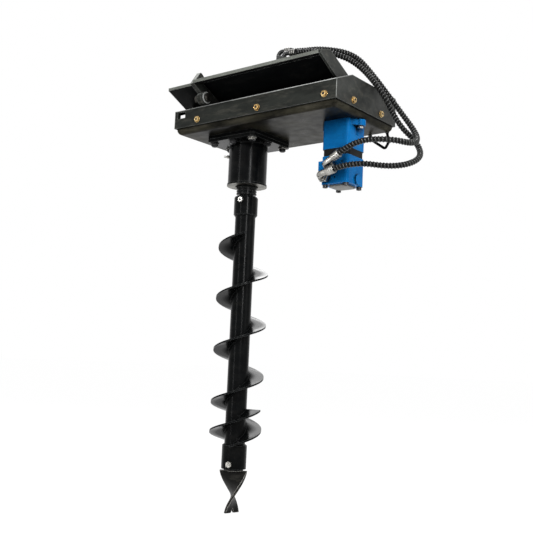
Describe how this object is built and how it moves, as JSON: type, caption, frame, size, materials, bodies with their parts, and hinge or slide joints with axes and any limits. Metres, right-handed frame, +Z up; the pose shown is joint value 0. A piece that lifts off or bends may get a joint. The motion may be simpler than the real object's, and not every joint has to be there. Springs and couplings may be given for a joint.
{
  "type": "excavator auger attachment",
  "caption": "Hydraulic earth auger with a chain case, hooked hitch plate, motor with hoses, and a helical auger with a forked bit.",
  "frame": {"origin": "where the spindle axis meets the flat top of the chain case", "axes": "+Z up along the spindle, away from the bit; +X along the case from the spindle towards the motor; +Y across it, away from the hook lip"},
  "size_m": [0.7432, 0.3575, 1.3531],
  "materials": {
    "case_paint": "satin black paint on folded steel",
    "tray_paint": "satin dark paint",
    "gold_zinc": "yellow zinc plate on steel",
    "housing_paint": "gloss black paint",
    "auger_paint": "gloss black paint",
    "zinc": "bright zinc plate",
    "black_steel": "blackened steel",
    "plain_steel": "machined steel",
    "chain_steel": "oiled steel",
    "motor_paint": "gloss blue paint",
    "motor_dark": "dark grey paint",
    "motor_grey": "grey paint",
    "seal_rubber": "matt black rubber",
    "hose_rubber": "ribbed black guard over rubber",
    "bit_steel": "forged, dark and worn"
  },
  "bodies": {
    "case": {"case_cover": "case_paint", "hitch_plate": "case_paint", "gusset_right": "case_paint", "gusset_left": "case_paint", "coupler_bracket": "case_paint", "hose_guide": "case_paint", "mounting_pad": "case_paint", "case_tray": "tray_paint", "cover_bolts": "gold_zinc", "spindle_housing": "housing_paint", "housing_end_ring": "housing_paint", "flange_nuts": "zinc", "port_adapter_upper": "zinc", "port_adapter_lower": "zinc", "port_elbow_upper": "zinc", "port_elbow_lower": "zinc", "quick_coupler_near": "zinc", "quick_coupler_far": "zinc", "hose_elbow_near": "zinc", "hose_elbow_far": "zinc", "motor_nuts": "zinc", "grease_nipple": "zinc", "flange_bolts": "black_steel", "motor_bolts": "black_steel", "motor_cap_screws": "black_steel", "lock_bush": "plain_steel", "bearing_outer_rings": "plain_steel", "chain_rollers": "chain_steel", "chain_inner_plates": "chain_steel", "chain_outer_plates": "chain_steel", "motor_housing": "motor_paint", "motor_port_block": "motor_paint", "motor_gerotor": "motor_dark", "motor_end_cap": "motor_grey", "shaft_seal": "seal_rubber", "hose_upper": "hose_rubber", "hose_lower": "hose_rubber"},
    "drill": {"output_shaft": "plain_steel", "driven_sprocket": "plain_steel", "sprocket_key": "plain_steel", "shaft_locknut": "black_steel", "bearing_inner_rings": "plain_steel", "bearing_rollers": "plain_steel", "auger_hub": "housing_paint", "hub_bolt": "zinc", "auger_tube": "auger_paint", "flight_1": "auger_paint", "flight_2": "auger_paint", "flight_3": "auger_paint", "flight_4": "auger_paint", "lead_flight": "auger_paint", "bit_collar": "housing_paint", "bit_bolt": "black_steel", "pilot_bit": "bit_steel"},
    "motor_rotor": {"motor_shaft": "plain_steel", "driver_sprocket": "plain_steel", "motor_key": "plain_steel", "driver_end_screw": "zinc"},
    "lock_pin": {"lock_pin": "plain_steel", "pull_bar": "zinc"}
  },
  "joints": [
    {"name": "auger_spin", "type": "hinge", "parent": "case", "child": "drill", "pos_m": [0, 0, 0], "axis": [0, 0, 1], "continuous": true, "deforming": ["chain_rollers", "chain_inner_plates", "chain_outer_plates"]},
    {"name": "motor_spin", "type": "hinge", "parent": "case", "child": "motor_rotor", "pos_m": [0.3382, 0, 0], "axis": [0, 0, 1], "continuous": true},
    {"name": "lock_pin_slide", "type": "slide", "parent": "case", "child": "lock_pin", "axis": [1, 0, 0], "range_m": [-0.025, 0]}
  ],
  "couplings": [
    {"joint": "motor_spin", "follows": "auger_spin", "ratio": 2.1667}
  ]
}
